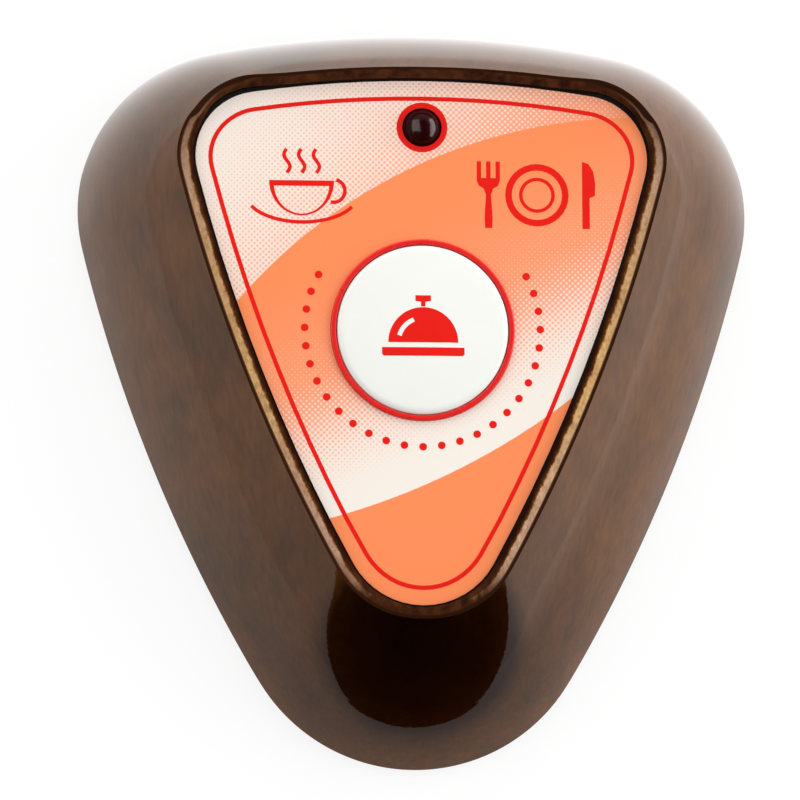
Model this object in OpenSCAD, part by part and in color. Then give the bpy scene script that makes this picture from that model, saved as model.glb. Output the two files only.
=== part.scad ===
// Waiter call button: a lacquered wooden body holds a recessed printed face with a round push
// button and a signal lamp. A coin cell sits behind a quarter-turn door in the base.
// Millimetres. +X is right, +Y runs towards the lamp, +Z is up from the table.

/* [Wooden body] */
// Width of the body over its shoulders
body_w = 89; // [84:0.5:100]
// Length of the body from tail to head
body_l = 98.4; // [94:0.2:110]
// Height of the highest wooden edge above the table
body_h = 21; // [19.5:0.1:26]
// Radius of the rounded tail corner
body_tail_r = 23.7; // [20:0.1:26]
// Radius of the two rounded shoulder corners
body_shoulder_r = 22; // [18:0.1:25]
// Radius of the long arc along each flank
body_flank_r = 211; // [150:1:400]
// Radius of the long arc across the head
body_head_r = 134; // [110:1:300]
// Radius of the round at the lower edge
edge_r = 1; // [0.6:0.1:1.4]
// Steepness of the crown where it starts at the window
crown_start = 31; // [20:1:40]
// Steepness of the crown where it ends above the lower edge
crown_end = 65; // [55:1:72]

/* [Window and face] */
// Width of the printed face
face_w = 58.6; // [54:0.2:62]
// Length of the printed face
face_l = 68.5; // [66:0.5:72]
// Distance from the middle of the body up to the middle of the face
face_shift = 4.6; // [3:0.1:5.4]
// Radius of the face at its tail
face_tail_r = 10.2; // [9:0.1:12]
// Radius of the face at its shoulders
face_shoulder_r = 8.5; // [7.5:0.1:10]
// Radius of the long arc along each side of the face
face_flank_r = 221; // [160:1:400]
// Radius of the long arc across the head of the face
face_head_r = 142; // [110:1:300]
// Depth of the face below the wooden edge
face_depth = 1.8; // [1.4:0.1:2.4]
// Thickness of the printed film
film_t = 0.3; // [0.2:0.05:0.5]
// Gap between the printed film and the window wall
window_gap = 0.75; // [0.6:0.05:1]
// Width of the bevel around the window
bevel_w = 1.2; // [0.8:0.1:1.5]
// Height of the bevel around the window
bevel_h = 1.1; // [0.7:0.1:1.3]

/* [Pocket and base] */
// Distance from the film's edge out to the pocket wall
pocket_grow = 2.7; // [2.5:0.1:3.2]
// Thickness of the wooden ledge that the carrier hangs from, below the carrier's panel
ledge_drop = 1.5; // [1.2:0.1:1.6]
// Width of the step that the base cover sits in
rebate_w = 2.2; // [1.5:0.1:2.6]
// Depth of the base cover's outer face inside the wood
base_recess = 0.4; // [0.2:0.1:0.8]
// Thickness of the base cover
base_t = 1.8; // [1.6:0.1:2.2]
// Thickness of the locating lip on the base cover
lip_t = 0.8; // [0.6:0.1:1]
// Height of the locating lip on the base cover
lip_h = 1.8; // [1:0.1:3]
// Height of a rubber foot
foot_h = 1; // [0.8:0.1:2]
// Diameter of a rubber foot
foot_d = 7.5; // [6:0.5:8]
// Width of the taper around a foot's sole
foot_taper = 0.4; // [0.2:0.1:0.8]

/* [Carrier] */
// Thickness of the carrier's flat panel
panel_t = 1.8; // [1.4:0.1:2]
// Thickness of the flange that bears on the wooden ledge
flange_t = 1.6; // [1.2:0.1:2]
// Thickness of the rim wall around the carrier's hollow
rim_wall = 2; // [1.4:0.1:2.2]
// Thickness of the ribs under the panel
rib_t = 1.2; // [0.8:0.1:1.6]
// Depth of the ribs under the panel
rib_h = 1.3; // [0.8:0.1:1.6]
// Diameter of the pillars that take the base screws
pillar_d = 4.6; // [4.2:0.1:4.8]
// Distance of the pillars inside the film's edge
pillar_in = 0.4; // [0.3:0.1:0.8]
// Diameter of the bosses that carry the board
boss_d = 4.4; // [4:0.1:4.8]

/* [Push button] */
// Diameter of the white button cap
cap_d = 22.2; // [20:0.2:22.6]
// Distance of the button from the middle of the face
cap_y = 1.4; // [0:0.1:2.4]
// Height of the cap above the printed face
cap_rise = 1.1; // [0.9:0.1:1.5]
// Height of the cap's crown over its edge
cap_crown = 0.35; // [0.1:0.05:0.5]
// Radius of the cap's top edge
cap_edge_r = 0.8; // [0.4:0.1:1]
// Thickness of the cap's top
cap_top_t = 1.7; // [1.5:0.1:2]
// Thickness of the cap's skirt
skirt_t = 1.2; // [1:0.1:1.6]
// Width of the stop flange below the skirt
stop_w = 1.1; // [0.8:0.1:1.3]
// Height of the stop flange
stop_h = 0.8; // [0.6:0.1:1]
// Radius of the stem that pushes the switch
stem_r = 2.4; // [1.8:0.1:2.8]
// Thickness of the two ribs that cross inside the cap
cap_rib_t = 1; // [0.8:0.1:1.4]
// Distance of those ribs above the stem's foot
cap_rib_lift = 0.6; // [0.4:0.1:1]
// Length of the collar that guides the cap, below the panel
collar_l = 2.1; // [1.6:0.1:2.2]
// Thickness of the collar's wall
collar_t = 2; // [1.6:0.1:2.2]
// Width of the visible red ring
ring_w = 0.55; // [0.5:0.05:0.9]
// Height of the ring above the printed face
ring_rise = 0.5; // [0.3:0.1:0.7]
// Width of the ring's hidden flange
ring_flange_w = 0.7; // [0.5:0.1:1]
// Thickness of the ring's hidden flange
ring_flange_t = 0.8; // [0.6:0.1:1]
// Travel of the button
press_travel = 0.5; // [0.3:0.05:0.6]

/* [Push switch] */
// Width of the switch
switch_w = 6; // [5.6:0.1:6.6]
// Height of the switch with its plunger
switch_h = 5; // [4.6:0.1:5.2]
// Height of the switch without its plunger
switch_body_h = 3.4; // [3.2:0.1:3.6]
// Thickness of the steel cover
switch_cover_t = 0.3; // [0.2:0.05:0.4]
// Thickness of the switch's floor
switch_floor_t = 1; // [0.8:0.1:1.2]
// Diameter of the plunger
plunger_d = 3.4; // [3:0.1:3.6]
// Width of the plunger's collar
plunger_collar_w = 0.5; // [0.3:0.05:0.6]
// Distance of a leg from the switch's middle
switch_leg_y = 2.25; // [2:0.05:2.4]
// Width of a switch leg
switch_leg_w = 0.7; // [0.5:0.1:0.8]
// Thickness of the sheet that the legs are cut from
leg_t = 0.2; // [0.15:0.05:0.25]

/* [Signal lamp] */
// Diameter of the lamp's lens
lamp_d = 5; // [3:0.1:5]
// Height of the lamp from its base to its tip
lamp_h = 8.6; // [8.2:0.1:8.8]
// Distance of the lamp from the middle of the face
lamp_y = 28.1; // [27:0.1:28.2]
// Depth of the lamp's tip below the wooden edge
lamp_below = 0.1; // [0.1:0.1:0.6]
// Width of the collar at the lamp's base
lamp_collar_w = 0.4; // [0.3:0.1:0.5]
// Height of the collar at the lamp's base
lamp_collar_h = 1; // [0.8:0.1:1.2]
// Wall of the sleeve around the lamp
sleeve_t = 1.1; // [0.8:0.1:1.2]
// Distance between the lamp's two wires
wire_pitch = 2.54; // [2:0.01:2.54]
// Thickness of a lamp wire
wire_t = 0.5; // [0.4:0.05:0.6]
// Length of a lamp wire below the board
wire_out = 1.2; // [0.8:0.1:1.6]

/* [Circuit board] */
// Thickness of the board
board_t = 1.6; // [1:0.2:1.6]
// Distance of the board's edge inside the film's edge
board_in = 3; // [2.8:0.1:3.2]
// Distance of the board's straight lower edge below the middle of the face
board_low = 11.6; // [11:0.1:12.4]
// Distance of the lower board screws from the centre line
low_screw_x = 12.4; // [12:0.1:12.6]
// Distance of the lower board screws below the middle of the face
low_screw_down = 8.8; // [8.6:0.1:9.2]
// Distance of the upper board screws from the centre line
high_screw_x = 20; // [18.5:0.1:20.5]
// Distance of the upper board screws above the middle of the face
high_screw_up = 14; // [13:0.1:14.6]

/* [Encoder chip] */
// Distance of the chip from the centre line
chip_x = 13.5; // [12.5:0.1:14.5]
// Distance of the chip from the middle of the face
chip_y = 21.6; // [21:0.1:22.4]
// Width of the chip's body
chip_w = 7.5; // [7:0.1:8]
// Length of the chip's body
chip_l = 11.6; // [11.4:0.1:12.4]
// Height of the chip above the board
chip_h = 2.3; // [1.6:0.1:2.4]
// Gap between the chip's body and the board
chip_lift = 0.2; // [0.1:0.05:0.3]
// Radius of the notch at the chip's end
notch_r = 0.8; // [0.5:0.1:1]
// Depth of that notch
notch_depth = 0.2; // [0.1:0.1:0.4]
// Distance between the chip's legs
leg_pitch = 1.27; // [1:0.01:1.27]
// Width of a chip leg
chip_leg_w = 0.4; // [0.3:0.05:0.5]

/* [Resonator and transistor] */
// Distance of the resonator's can from the centre line
can_x = 19; // [18:0.1:19.6]
// Distance of the can from the middle of the face
can_y = 22.2; // [21.8:0.1:22.6]
// Length of the can
can_l = 10.6; // [9:0.1:10.8]
// Width of the can
can_w = 4.4; // [3.6:0.1:4.8]
// Height of the can
can_h = 3.4; // [2.6:0.1:3.8]
// Distance between the can's pins
pin_pitch = 4.9; // [4:0.1:5.4]
// Diameter of a pin
pin_d = 0.5; // [0.4:0.05:0.6]
// Length of a pin above the board
pin_out = 0.6; // [0.4:0.1:1]
// Distance of the transistor from the centre line
transistor_x = 17.4; // [16.6:0.1:17.8]
// Distance of the transistor from the middle of the face
transistor_y = 6; // [5:0.1:8]
// Width of the transistor's body
transistor_w = 1.3; // [1.2:0.1:1.6]
// Length of the transistor's body
transistor_l = 2.9; // [2.7:0.1:3.1]
// Height of the transistor's body above its gap
transistor_h = 1; // [0.8:0.1:1.1]

/* [Chip parts] */
// Length of a chip part
small_l = 2; // [1.6:0.1:2.2]
// Width of a chip part
small_w = 1.25; // [0.8:0.05:1.4]
// Height of a resistor
resistor_h = 0.5; // [0.4:0.05:0.6]
// Height of a capacitor
capacitor_h = 0.9; // [0.7:0.05:1.2]
// Distance of the resistors from the centre line
resistor_x = 16.4; // [15.6:0.1:16.6]
// Distance between two resistors
resistor_pitch = 2.4; // [2.2:0.1:2.6]
// Distance of the capacitors from the middle of the face
capacitor_y = 17.4; // [16.8:0.1:18]
// Distance between two capacitors
capacitor_pitch = 3.6; // [3:0.1:3.8]

/* [Aerial] */
// Distance of the coil from the centre line
coil_x = 12; // [11.6:0.1:12.6]
// Distance of the coil's lower end from the middle of the face
coil_low_y = 16.2; // [15.8:0.1:16.6]
// Radius of the coil at the middle of its wire
coil_r = 1.7; // [1.4:0.1:1.9]
// Thickness of the coil's wire
coil_wire_d = 0.8; // [0.6:0.05:0.9]
// Advance of the coil in one turn
coil_pitch = 1.75; // [1.6:0.05:1.8]
// Turns of the coil
coil_turns = 6.5; // [4.5:1:6.5]
// Height of the coil's axis above the board
coil_lift = 2.3; // [2.2:0.1:2.5]

/* [Coin cell and door] */
// Diameter of the coin cell
cell_d = 20; // [16:0.5:20]
// Thickness of the coin cell
cell_t = 3.2; // [2.5:0.1:3.2]
// Height of the step around the cell's smaller terminal
cell_step_h = 0.4; // [0.3:0.05:0.5]
// Width of the step around the cell's smaller terminal
cell_step_w = 1.3; // [1:0.1:1.6]
// Clearance around the coin cell
cell_gap = 0.3; // [0.2:0.1:0.5]
// Wall of the cell's well
well_t = 0.9; // [0.8:0.1:1.2]
// Thickness of the shelf between the curb and the well
shelf_t = 0.8; // [0.6:0.1:1]
// Wall of the curb around the door's lugs
curb_t = 1.2; // [0.8:0.1:1.4]
// Diameter of the quarter-turn door
door_d = 23.6; // [23:0.1:24.4]
// Thickness of the door's disc
door_t = 1.5; // [1.3:0.1:1.6]
// Clearance around the door
door_gap = 0.2; // [0.15:0.05:0.3]
// Distance of the pad's edge inside the cell's edge
pad_in = 1; // [0.8:0.1:1.6]
// Reach of a locking lug past the door's disc
lug_w = 1.4; // [1:0.1:1.6]
// Thickness of a locking lug
lug_t = 1; // [0.8:0.1:1.2]
// Angle that one locking lug covers
lug_angle = 26; // [18:1:28]
// Turn that frees the door
door_turn = 45; // [44:1:50]
// Width of the coin slot in the door
slot_w = 1.8; // [1.4:0.1:2.2]
// Length of the coin slot in the door
slot_l = 13; // [10:0.5:16]
// Depth of the coin slot in the door
slot_depth = 0.8; // [0.6:0.1:1]

/* [Cell contacts] */
// Thickness of the sprung strip
leaf_t = 0.3; // [0.2:0.05:0.35]
// Width of the sprung strip
leaf_w = 3; // [2:0.1:3.4]
// Length of a strip's foot on the board
leaf_foot = 2; // [1.5:0.1:2.2]
// Half the length of the flat that bears on the cell's top
leaf_flat = 0.5; // [0.3:0.1:0.8]
// Length of the slope from the board down to the cell's top
leaf_slope = 5; // [4:0.1:5.4]
// Length of the free end past the flat
leaf_tip = 3; // [2:0.1:4]
// Rise of the free end over its length
leaf_tip_rise = 0.5; // [0.3:0.1:0.6]
// Height of the part of a strip that bears on the cell's side
leaf_pad_h = 0.6; // [0.4:0.1:0.8]

/* [Screws] */
// Diameter of a screw's thread
thread_d = 1.7; // [1.5:0.1:1.8]
// Length of a base screw
base_screw_l = 7; // [5:0.5:8]
// Length of a board screw
board_screw_l = 4.5; // [4:0.5:5]
// Diameter of a base screw's head
base_head_d = 4; // [3.4:0.1:4.2]
// Height of a base screw's head
base_head_h = 0.8; // [0.6:0.1:0.9]
// Diameter of a board screw's head
board_head_d = 3.6; // [3:0.1:3.8]
// Height of a board screw's head
board_head_h = 1; // [0.8:0.1:1.2]
// Length of a screw's point
screw_point = 1; // [0.8:0.1:1.4]
// Width of the cross slots in a screw's head
cross_w = 0.5; // [0.4:0.05:0.6]

/* [Fits] */
// Gap between pieces that seat in each other
seat_gap = 0.15; // [0.1:0.05:0.2]
// Gap around the carrier's flange in its pocket
flange_gap = 0.3; // [0.2:0.05:0.4]
// Radial gap around the red ring
ring_gap = 0.1; // [0.05:0.05:0.2]
// Radial gap between the cap and its guide
cap_gap = 0.15; // [0.1:0.05:0.25]
// Gap between the stop flange and the collar at rest
stop_gap = 0.2; // [0.1:0.05:0.3]
// Gap around the plunger
plunger_gap = 0.1; // [0.05:0.05:0.15]
// Radial gap around the lamp
lamp_gap = 0.15; // [0.1:0.05:0.2]
// Play of the lugs, above and below
lug_play = 0.15; // [0.1:0.05:0.2]
// Gap between the lugs' ends and the curb
curb_gap = 0.3; // [0.2:0.05:0.4]
// Angle by which an entry is wider than its lug
entry_play = 6; // [4:1:8]
// Radial gap around a screw in its hole
screw_gap = 0.25; // [0.15:0.05:0.3]
// Depth of a screw's hole past the screw's tip
tip_room = 0.5; // [0.3:0.1:0.8]
// Radial gap around a wire or pin in its hole
wire_gap = 0.15; // [0.1:0.05:0.2]
// Gap between a sprung strip and the plastic beside it
leaf_gap = 0.2; // [0.1:0.05:0.3]

/* [Hidden] */
// How far a cut runs past a face, and a joined piece into its neighbour
past = 1;
eps = 0.01;

// Levels, from the table up
wood_z = foot_h;
base_z = wood_z + base_recess;
base_top_z = base_z + base_t;
base_seat_z = base_z + base_head_h + screw_gap;
door_z = base_z + seat_gap;
door_top_z = door_z + door_t;
lug_z = base_top_z + lug_play;
lug_top_z = lug_z + lug_t;
cell_z = lug_top_z + lug_play;
cell_top_z = cell_z + cell_t;
face_z = body_h - face_depth;
panel_z = face_z - film_t;
panel_under_z = panel_z - panel_t;
ledge_z = panel_z - ledge_drop;
flange_z = ledge_z - flange_t;
pillar_top_z = min(panel_under_z, ledge_z - seat_gap);
collar_z = panel_under_z - collar_l;
board_z = body_h - lamp_below - lamp_h;
board_under_z = board_z - board_t;
cap_z = face_z + cap_rise;
cap_under_z = cap_z - cap_top_t;
stop_z = collar_z - stop_gap;
plunger_z = board_z + switch_h;
chamber_z = board_z + switch_floor_t;
cover_z = board_z + switch_body_h - switch_cover_t;
plunger_foot_z = chamber_z + press_travel + plunger_gap;

// Radii around the button's axis
cap_r = cap_d / 2;
guide_r = cap_r + cap_gap;
ring_r = guide_r + ring_w;
ring_flange_r = ring_r + ring_flange_w;
collar_r = guide_r + collar_t;
plunger_r = plunger_d / 2;
cell_r = cell_d / 2;
well_r = cell_r + cell_gap;
well_out_r = well_r + well_t;
pad_r = cell_r - pad_in;
door_r = door_d / 2;
lug_r = door_r + lug_w;
curb_r = lug_r + curb_gap;
LUGS = [90, 210, 330];

// An outline is [width, low y, high y, tail radius, shoulder radius, flank radius, head radius]
body_line = [body_w, -body_l / 2, body_l / 2, body_tail_r, body_shoulder_r, body_flank_r, body_head_r];
// The face's outline lies about the middle of the face, as all that hangs from the face does
face_line = [face_w, -face_l / 2, face_l / 2, face_tail_r, face_shoulder_r, face_flank_r, face_head_r];

// Steps along half an outline: half the tail, a flank, a shoulder, half the head
TAIL_STEPS = 8;
FLANK_STEPS = 10;
SHOULDER_STEPS = 14;
HEAD_STEPS = 6;
CROWN_STEPS = 13;
EDGE_STEPS = 4;

// The same outline, moved out by d all round, or moved up the body by y
function grown(o, d) = [o[0] + 2 * d, o[1] - d, o[2] + d, o[3] + d, o[4] + d, o[5] + d, o[6] + d];
function moved(o, y) = [o[0], o[1] + y, o[2] + y, o[3], o[4], o[5], o[6]];

// Centres of the tail, shoulder, head and flank arcs; the flank and head arcs touch their neighbours
function tail_centre(o) = [0, o[1] + o[3]];
function shoulder_x(o) = o[0] / 2 - o[4];
function shoulder_centre(o) =
    [shoulder_x(o), o[2] - o[6] + sqrt(pow(o[6] - o[4], 2) - pow(shoulder_x(o), 2))];
function head_centre(o) = [0, o[2] - o[6]];
function flank_centre(o) =
    let (a = tail_centre(o), b = shoulder_centre(o), d = norm(b - a), u = (b - a) / d,
        to_a = o[5] - o[3], to_b = o[5] - o[4],
        along = (to_a * to_a - to_b * to_b + d * d) / (2 * d),
        across = sqrt(to_a * to_a - along * along))
    a + along * u + across * [-u[1], u[0]];

function heading(v) = atan2(v[1], v[0]);
function around(c, r, a) = c + r * [cos(a), sin(a)];
function arc(c, r, a0, a1, n) = [for (i = [0:n - 1]) around(c, r, a0 + (a1 - a0) * i / n)];

// Half of an outline on the +X side, from the tail up to just before the head's middle
function half_line(o) =
    let (low = heading(tail_centre(o) - flank_centre(o)),
        high = heading(shoulder_centre(o) - flank_centre(o)),
        top = heading(shoulder_centre(o) - head_centre(o)))
    concat(arc(tail_centre(o), o[3], -90, low, TAIL_STEPS),
        arc(flank_centre(o), o[5], low, high, FLANK_STEPS),
        arc(shoulder_centre(o), o[4], high, top, SHOULDER_STEPS),
        arc(head_centre(o), o[6], top, 90, HEAD_STEPS));

// The whole outline, anticlockwise from the tail
function outline(o) =
    let (h = half_line(o), n = len(h))
    concat(h, [[0, o[2]]], [for (i = [n - 1:-1:1]) [-h[i][0], h[i][1]]]);

// Pillars stand inside the film's corners, and bosses at the board's screws
tail_pillar = around(tail_centre(face_line), face_tail_r - pillar_in, -90);
shoulder_pillar = around(shoulder_centre(face_line), face_shoulder_r - pillar_in, 45);
PILLARS = [tail_pillar, shoulder_pillar, [-shoulder_pillar[0], shoulder_pillar[1]]];
BOSSES = [for (s = [-1, 1]) each [[s * low_screw_x, -low_screw_down], [s * high_screw_x, high_screw_up]]];

// Frames: about the middle of the face, the button's axis and the lamp's axis
module at_face() translate([0, face_shift, 0]) children();
module at_button() translate([0, face_shift + cap_y, 0]) children();
module at_lamp() translate([0, face_shift + lamp_y, 0]) children();

// A flat solid with an outline, between two heights
module slab(o, z0, z1) {
    translate([0, 0, z0]) linear_extrude(z1 - z0) polygon(outline(o));
}

// An upright cylinder between two heights
module post(r, z0, z1, sides) {
    translate([0, 0, z0]) cylinder(r = r, h = z1 - z0, $fn = sides);
}

// A closed ring of skin through equal loops of points, from the first loop round to it again
module ring_loft(loops) {
    n = len(loops[0]);
    m = len(loops);
    polyhedron(
        points = [for (l = loops) each l],
        faces = [for (j = [0:m - 1], i = [0:n - 1])
            let (a = j * n + i, b = j * n + (i + 1) % n,
                c = ((j + 1) % m) * n + (i + 1) % n, d = ((j + 1) % m) * n + i)
            each [[a, d, c], [a, c, b]]],
        convexity = 8);
}

function level(o, z) = [for (p = outline(o)) [p[0], p[1], z]];

// The crown runs over part of an ellipse from the window's edge out to the body's edge
function crown_out(a) = (sin(a) - sin(crown_start)) / (sin(crown_end) - sin(crown_start));
function crown_drop(a) = (cos(crown_start) - cos(a)) / (cos(crown_start) - cos(crown_end));
function crown_loop(inner, outer, z_in, z_out, a) =
    let (p = outline(inner), q = outline(outer), s = crown_out(a), z = z_in + (z_out - z_in) * crown_drop(a))
    [for (i = [0:len(p) - 1]) let (xy = p[i] + (q[i] - p[i]) * s) [xy[0], xy[1], z]];

// Wooden body: a rounded triangular ring, lofted in one skin over crown, bevel, ledge and pocket
module wood_housing() {
    window = moved(grown(face_line, window_gap), face_shift);
    rim = grown(window, bevel_w);
    pocket = moved(grown(face_line, pocket_grow), face_shift);
    rebate = grown(pocket, rebate_w);
    bevel_round = bevel_w / 5;
    loops = concat(
        [for (k = [0:EDGE_STEPS]) let (a = 90 * k / EDGE_STEPS)
            level(grown(body_line, edge_r * (sin(a) - 1)), wood_z + edge_r * (1 - cos(a)))],
        [for (k = [1:CROWN_STEPS]) let (a = crown_end + (crown_start - crown_end) * k / CROWN_STEPS)
            crown_loop(rim, body_line, body_h, wood_z + edge_r, a)],
        [level(grown(rim, -bevel_round), body_h - bevel_h / 12),
            level(grown(window, bevel_round), body_h - bevel_h * 3 / 4),
            level(window, body_h - bevel_h),
            level(window, ledge_z), level(pocket, ledge_z), level(pocket, base_top_z),
            level(rebate, base_top_z), level(rebate, wood_z)]);
    color("saddlebrown") ring_loft(loops);
}

// Moulded carrier: panel and flange, guide collar, lamp sleeve, ribs, pillars and board bosses
module face_plate() {
    sleeve_r = lamp_d / 2 + lamp_gap + sleeve_t;
    rib_z = panel_under_z - rib_h;
    color("#26262a") difference() {
        union() {
            at_face() difference() {
                union() {
                    slab(grown(face_line, window_gap - seat_gap), flange_z, panel_z);
                    slab(grown(face_line, pocket_grow - flange_gap), flange_z, ledge_z);
                }
                slab(grown(face_line, -rim_wall), flange_z - past, panel_under_z);
            }
            at_face() for (p = PILLARS) translate([p[0], p[1], 0])
                post(pillar_d / 2, base_top_z, pillar_top_z + eps, 32);
            at_face() for (p = BOSSES) translate([p[0], p[1], 0])
                post(boss_d / 2, board_z, panel_under_z + eps, 32);
            at_face() translate([-rib_t / 2, tail_pillar[1], rib_z])
                cube([rib_t, lamp_y - tail_pillar[1], rib_h + eps]);
            at_face() intersection() {
                translate([-face_w / 2, cap_y - rib_t / 2, rib_z]) cube([face_w, rib_t, rib_h + eps]);
                slab(grown(face_line, -rim_wall / 2), rib_z - past, panel_z);
            }
            at_button() post(collar_r, collar_z, panel_under_z + eps, 96);
            at_lamp() post(sleeve_r, flange_z, panel_under_z + eps, 48);
        }
        at_button() post(guide_r, collar_z - past, panel_z + past, 96);
        at_button() post(ring_flange_r + ring_gap, panel_z - ring_flange_t, panel_z + past, 96);
        at_lamp() post(lamp_d / 2 + lamp_gap, flange_z - past, panel_z + past, 48);
        at_face() for (p = PILLARS) translate([p[0], p[1], 0])
            post(thread_d / 2, base_top_z - past, base_seat_z + base_screw_l + tip_room, 24);
        at_face() for (p = BOSSES) translate([p[0], p[1], 0])
            post(thread_d / 2, board_z - past, board_under_z + board_screw_l + tip_room, 24);
    }
}

// Printed film that covers the carrier's panel
module printed_overlay() {
    color("#ff8e56") difference() {
        at_face() slab(face_line, panel_z, face_z);
        at_button() post(ring_r + ring_gap, panel_z - past, face_z + past, 96);
        at_lamp() post(lamp_d / 2 + lamp_gap, panel_z - past, face_z + past, 48);
    }
}

// Red ring round the button, with a flange that the film traps in the carrier
module button_ring() {
    round_r = ring_w / 2;
    top = face_z + ring_rise - round_r;
    color("red") at_button() rotate_extrude($fn = 96)
        polygon(concat(
            [[guide_r, panel_z - ring_flange_t], [ring_flange_r, panel_z - ring_flange_t],
                [ring_flange_r, panel_z], [ring_r, panel_z]],
            [for (a = [0:22.5:180]) [guide_r + round_r + round_r * cos(a), top + round_r * sin(a)]]));
}

// White cap: crowned top with a rounded edge, guide skirt, stop flange and a ribbed stem
module button_cap() {
    flat_r = cap_r - cap_edge_r;
    edge_z = cap_z - cap_crown - cap_edge_r;
    inner_r = cap_r - skirt_t;
    rib_z = plunger_z + cap_rib_lift;
    color("white") at_button() {
        rotate_extrude($fn = 96)
            polygon(concat(
                [[0, cap_under_z], [inner_r, cap_under_z], [inner_r, stop_z - stop_h],
                    [cap_r + stop_w, stop_z - stop_h], [cap_r + stop_w, stop_z], [cap_r, stop_z]],
                [for (a = [0:15:90]) [flat_r + cap_edge_r * cos(a), edge_z + cap_edge_r * sin(a)]],
                [for (k = [5:-1:0]) [flat_r * k / 6, cap_z - cap_crown * pow(k / 6, 2)]]));
        post(stem_r, plunger_z, cap_under_z + eps, 48);
        for (a = [0, 90]) rotate(a) translate([-inner_r - eps, -cap_rib_t / 2, rib_z])
            cube([2 * inner_r + 2 * eps, cap_rib_t, cap_under_z - rib_z + eps]);
    }
}

// Push switch: moulded body with the plunger's chamber
module switch_body() {
    color("#202022") at_button() difference() {
        translate([-switch_w / 2, -switch_w / 2, board_z]) cube([switch_w, switch_w, cover_z - board_z]);
        post(plunger_r + plunger_collar_w + plunger_gap, chamber_z, cover_z + past, 48);
    }
}

// Sheet steel cover that keeps the plunger in
module switch_cover() {
    color("silver") at_button() difference() {
        translate([-switch_w / 2, -switch_w / 2, cover_z]) cube([switch_w, switch_w, switch_cover_t]);
        post(plunger_r + plunger_gap, cover_z - past, cover_z + switch_cover_t + past, 96);
    }
}

// Plunger with the collar that stops under the cover
module switch_plunger() {
    color("#303034") at_button() {
        post(plunger_r, plunger_foot_z, plunger_z, 48);
        post(plunger_r + plunger_collar_w, plunger_foot_z, cover_z - plunger_gap, 48);
    }
}

// A formed leg: out of a body's side at a height, down, and out along the board
module gull_leg(reach, height, foot, w) {
    rotate([90, 0, 0]) translate([0, 0, -w / 2]) linear_extrude(w)
        polygon([[0, height], [reach, height], [reach, leg_t], [reach + foot, leg_t], [reach + foot, 0],
            [reach - leg_t, 0], [reach - leg_t, height - leg_t], [0, height - leg_t]]);
}

// Four legs of the push switch, soldered flat on the board
module switch_legs() {
    color("silver") at_button() for (s = [0, 180], y = [-1, 1] * switch_leg_y)
        translate([0, 0, board_z]) rotate(s) translate([switch_w / 2, y, 0])
            gull_leg(switch_leg_w + leg_t, switch_floor_t - leg_t, switch_leg_w, switch_leg_w);
}

// Lamp: a dark red epoxy lens with a collar at its base
module led_lens() {
    r = lamp_d / 2;
    dome_z = board_z + lamp_h - r;
    color("darkred") at_lamp() rotate_extrude($fn = 64)
        polygon(concat(
            [[0, board_z], [r + lamp_collar_w, board_z], [r + lamp_collar_w, board_z + lamp_collar_h],
                [r, board_z + lamp_collar_h]],
            [for (a = [0:7.5:82.5]) [r * cos(a), dome_z + r * sin(a)]], [[0, dome_z + r]]));
}

// The lamp's two square wires, soldered through the board
module led_leads() {
    color("silver") at_lamp() for (s = [-1, 1])
        translate([s * wire_pitch / 2 - wire_t / 2, -wire_t / 2, board_under_z - wire_out])
            cube([wire_t, wire_t, board_t + wire_out]);
}

// Circuit board, cut straight at its lower edge, clear of the pillars and the bosses' screws
module circuit_board() {
    low_z = board_under_z - past;
    high_z = board_z + past;
    wire_r = wire_t * sqrt(2) / 2 + wire_gap;
    color("darkgreen") difference() {
        at_face() slab(grown(face_line, -board_in), board_under_z, board_z);
        at_face() translate([-face_w / 2, -face_l / 2, low_z])
            cube([face_w, face_l / 2 - board_low, high_z - low_z]);
        at_face() for (p = PILLARS) translate([p[0], p[1], 0])
            post(pillar_d / 2 + seat_gap, low_z, high_z, 32);
        at_face() for (p = BOSSES) translate([p[0], p[1], 0])
            post(thread_d / 2 + screw_gap, low_z, high_z, 24);
        at_lamp() for (s = [-1, 1]) translate([s * wire_pitch / 2, 0, 0]) post(wire_r, low_z, high_z, 24);
        at_face() for (s = [-1, 1]) translate([-can_x, can_y + s * pin_pitch / 2, 0])
            post(pin_d / 2 + wire_gap, low_z, high_z, 24);
    }
}

// Encoder chip, with a notch at one end
module encoder_chip() {
    top_z = board_z + chip_h;
    color("#2a2a2e") at_face() difference() {
        translate([chip_x - chip_w / 2, chip_y - chip_l / 2, board_z + chip_lift])
            cube([chip_w, chip_l, chip_h - chip_lift]);
        translate([chip_x, chip_y + chip_l / 2, 0]) post(notch_r, top_z - notch_depth, top_z + past, 24);
    }
}

// The chip's two rows of legs, as many as its length takes
module encoder_legs() {
    count = floor(chip_l / leg_pitch);
    color("silver") at_face() for (s = [0, 180], k = [0:count - 1])
        translate([chip_x, chip_y, board_z]) rotate(s)
            translate([chip_w / 2, (k - (count - 1) / 2) * leg_pitch, 0])
                gull_leg(chip_leg_w + leg_t, chip_h / 2, chip_leg_w + leg_t, chip_leg_w);
}

// Resonator: an oval can that hangs under the board on two pins
module saw_resonator() {
    straight = can_l - can_w;
    color("silver") at_face() translate([-can_x, can_y, board_under_z]) {
        translate([0, 0, -can_h]) linear_extrude(can_h) union() {
            square([can_w, straight], center = true);
            for (s = [-1, 1]) translate([0, s * straight / 2]) circle(d = can_w, $fn = 32);
        }
        for (s = [-1, 1]) translate([0, s * pin_pitch / 2, 0]) post(pin_d / 2, -eps, board_t + pin_out, 16);
    }
}

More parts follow.
